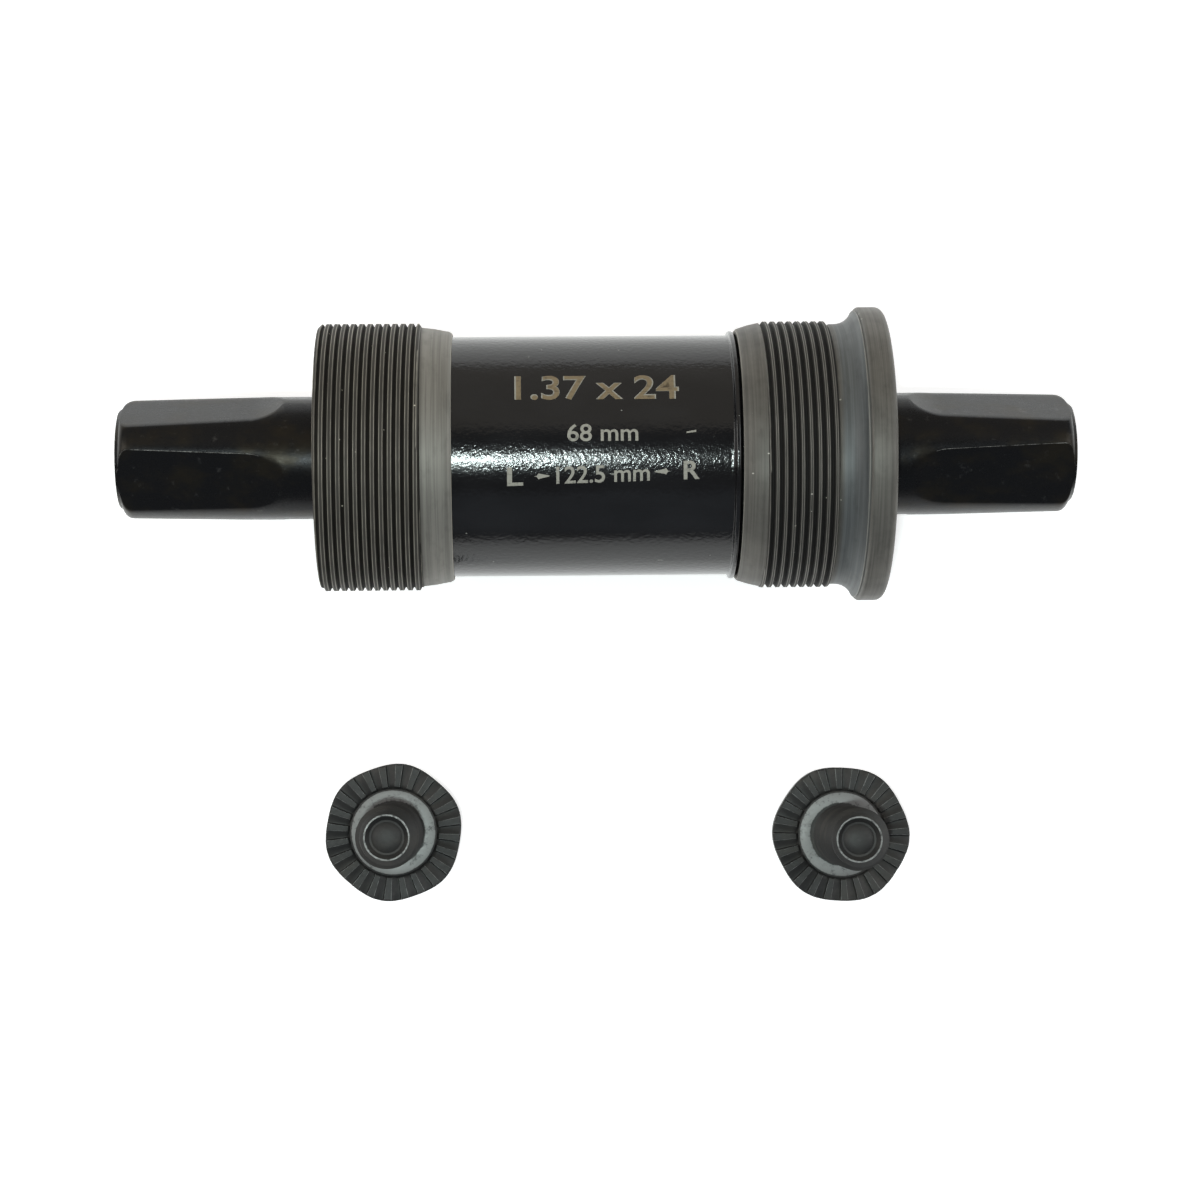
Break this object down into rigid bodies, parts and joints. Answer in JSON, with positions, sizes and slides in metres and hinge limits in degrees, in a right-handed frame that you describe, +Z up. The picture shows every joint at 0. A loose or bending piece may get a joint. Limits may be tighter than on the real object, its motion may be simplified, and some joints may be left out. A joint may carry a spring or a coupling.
{
  "type": "bottom bracket",
  "caption": "Sealed cartridge bottom bracket with a square-taper spindle, a flanged and a flangeless threaded cup, and two loose serrated-flange crank bolts.",
  "frame": {"origin": "on the spindle's axis, in the middle of the 68 mm frame shell that the cups screw into", "axes": "+X along the spindle to the drive side, +Z up, away from the surface that the flange and the bolts' heads stand on"},
  "size_m": [0.1225, 0.0774, 0.038],
  "materials": {
    "black_coat": "glossy black electrocoat with a fine orange peel",
    "cup_steel": "bare turned steel, warm grey, brighter on the thread crests",
    "spindle_steel": "black oxide, worn to bright metal along the edges",
    "bolt_steel": "black oxide with bright serration edges",
    "spacer_steel": "plain turned steel",
    "race_steel": "ground bearing steel",
    "ball_steel": "polished bearing steel",
    "cage_steel": "pressed steel, satin",
    "shield_rubber": "moulded black rubber on a steel ring",
    "seal_rubber": "moulded black rubber"
  },
  "bodies": {
    "cartridge": {"cartridge_shell": "black_coat", "right_cup": "cup_steel", "outer_spacer": "spacer_steel", "left_outer_race": "race_steel", "right_outer_race": "race_steel", "left_shield_outboard": "shield_rubber", "left_shield_inboard": "shield_rubber", "right_shield_outboard": "shield_rubber", "right_shield_inboard": "shield_rubber", "left_dust_seal": "seal_rubber", "right_dust_seal": "seal_rubber"},
    "spindle": {"spindle": "spindle_steel", "left_inner_race": "race_steel", "right_inner_race": "race_steel"},
    "left_ball_set": {"left_ball_cage": "cage_steel", "left_ball_01": "ball_steel", "left_ball_02": "ball_steel", "left_ball_03": "ball_steel", "left_ball_04": "ball_steel", "left_ball_05": "ball_steel", "left_ball_06": "ball_steel", "left_ball_07": "ball_steel", "left_ball_08": "ball_steel", "left_ball_09": "ball_steel", "left_ball_10": "ball_steel", "left_ball_11": "ball_steel"},
    "right_ball_set": {"right_ball_cage": "cage_steel", "right_ball_01": "ball_steel", "right_ball_02": "ball_steel", "right_ball_03": "ball_steel", "right_ball_04": "ball_steel", "right_ball_05": "ball_steel", "right_ball_06": "ball_steel", "right_ball_07": "ball_steel", "right_ball_08": "ball_steel", "right_ball_09": "ball_steel", "right_ball_10": "ball_steel", "right_ball_11": "ball_steel"},
    "left_cup": {"left_cup": "cup_steel"},
    "left_crank_bolt": {"left_crank_bolt": "bolt_steel"},
    "right_crank_bolt": {"right_crank_bolt": "bolt_steel"}
  },
  "joints": [
    {"name": "spindle_spin", "type": "hinge", "parent": "cartridge", "child": "spindle", "pos_m": [0, 0, 0], "axis": [1, 0, 0], "continuous": true},
    {"name": "left_cage_orbit", "type": "hinge", "parent": "cartridge", "child": "left_ball_set", "pos_m": [-0.022, 0, 0], "axis": [1, 0, 0], "continuous": true},
    {"name": "right_cage_orbit", "type": "hinge", "parent": "cartridge", "child": "right_ball_set", "pos_m": [0.024, 0, 0], "axis": [1, 0, 0], "continuous": true},
    {"name": "left_cup_slide", "type": "slide", "parent": "cartridge", "child": "left_cup", "axis": [-1, 0, 0], "range_m": [0, 0.045]},
    {"name": "left_bolt_lift", "type": "slide", "parent": "cartridge", "child": "left_crank_bolt", "axis": [0, 0, 1], "range_m": [0, 0.03]},
    {"name": "right_bolt_lift", "type": "slide", "parent": "cartridge", "child": "right_crank_bolt", "axis": [0, 0, 1], "range_m": [0, 0.03]}
  ],
  "couplings": [
    {"joint": "left_cage_orbit", "follows": "spindle_spin", "ratio": 0.41555},
    {"joint": "right_cage_orbit", "follows": "spindle_spin", "ratio": 0.41555}
  ]
}
